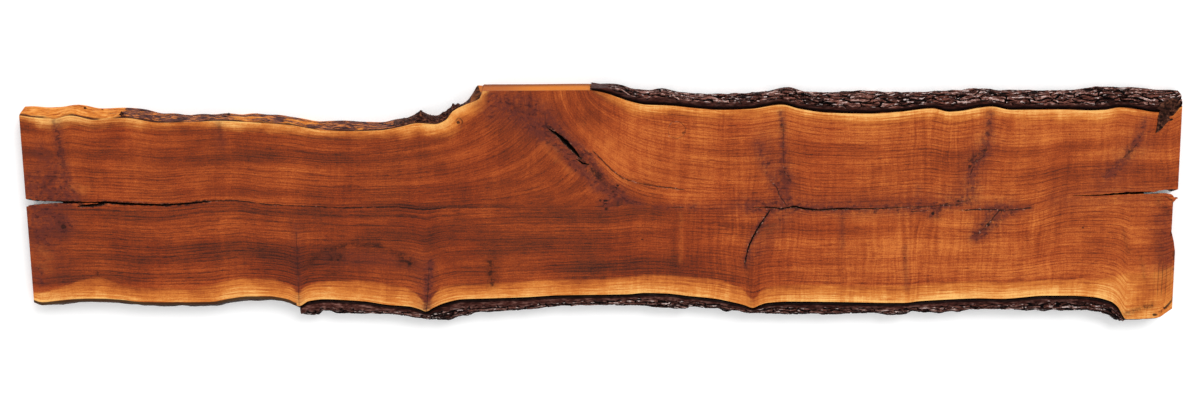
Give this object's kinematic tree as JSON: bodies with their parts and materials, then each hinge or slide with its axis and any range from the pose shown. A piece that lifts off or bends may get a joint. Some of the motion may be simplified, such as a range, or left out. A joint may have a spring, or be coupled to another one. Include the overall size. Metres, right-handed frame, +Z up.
{
  "type": "live-edge walnut wood slab",
  "caption": "Long flat board sawn from a log, with natural wavy edges, bark still on both long sides, end splits and a forked figure; rests flat as a table top or shelf blank.",
  "frame": {"origin": "middle of the slab's bounding box, on the surface that the underside rests on", "axes": "+X along the grain, +Y across the slab towards the edge with the sawn limb, +Z up out of the figured face"},
  "size_m": [2.4132, 0.5196, 0.055],
  "materials": {
    "walnut": "planed and oiled walnut, red-brown heartwood with a pale orange sapwood band along the live edges, satin",
    "bark": "rough scaly bark, dark brown-black with grey highlights on its plates"
  },
  "bodies": {
    "root": {"slab_wood": "walnut", "bark_upper": "bark", "bark_lower": "bark"}
  },
  "joints": []
}
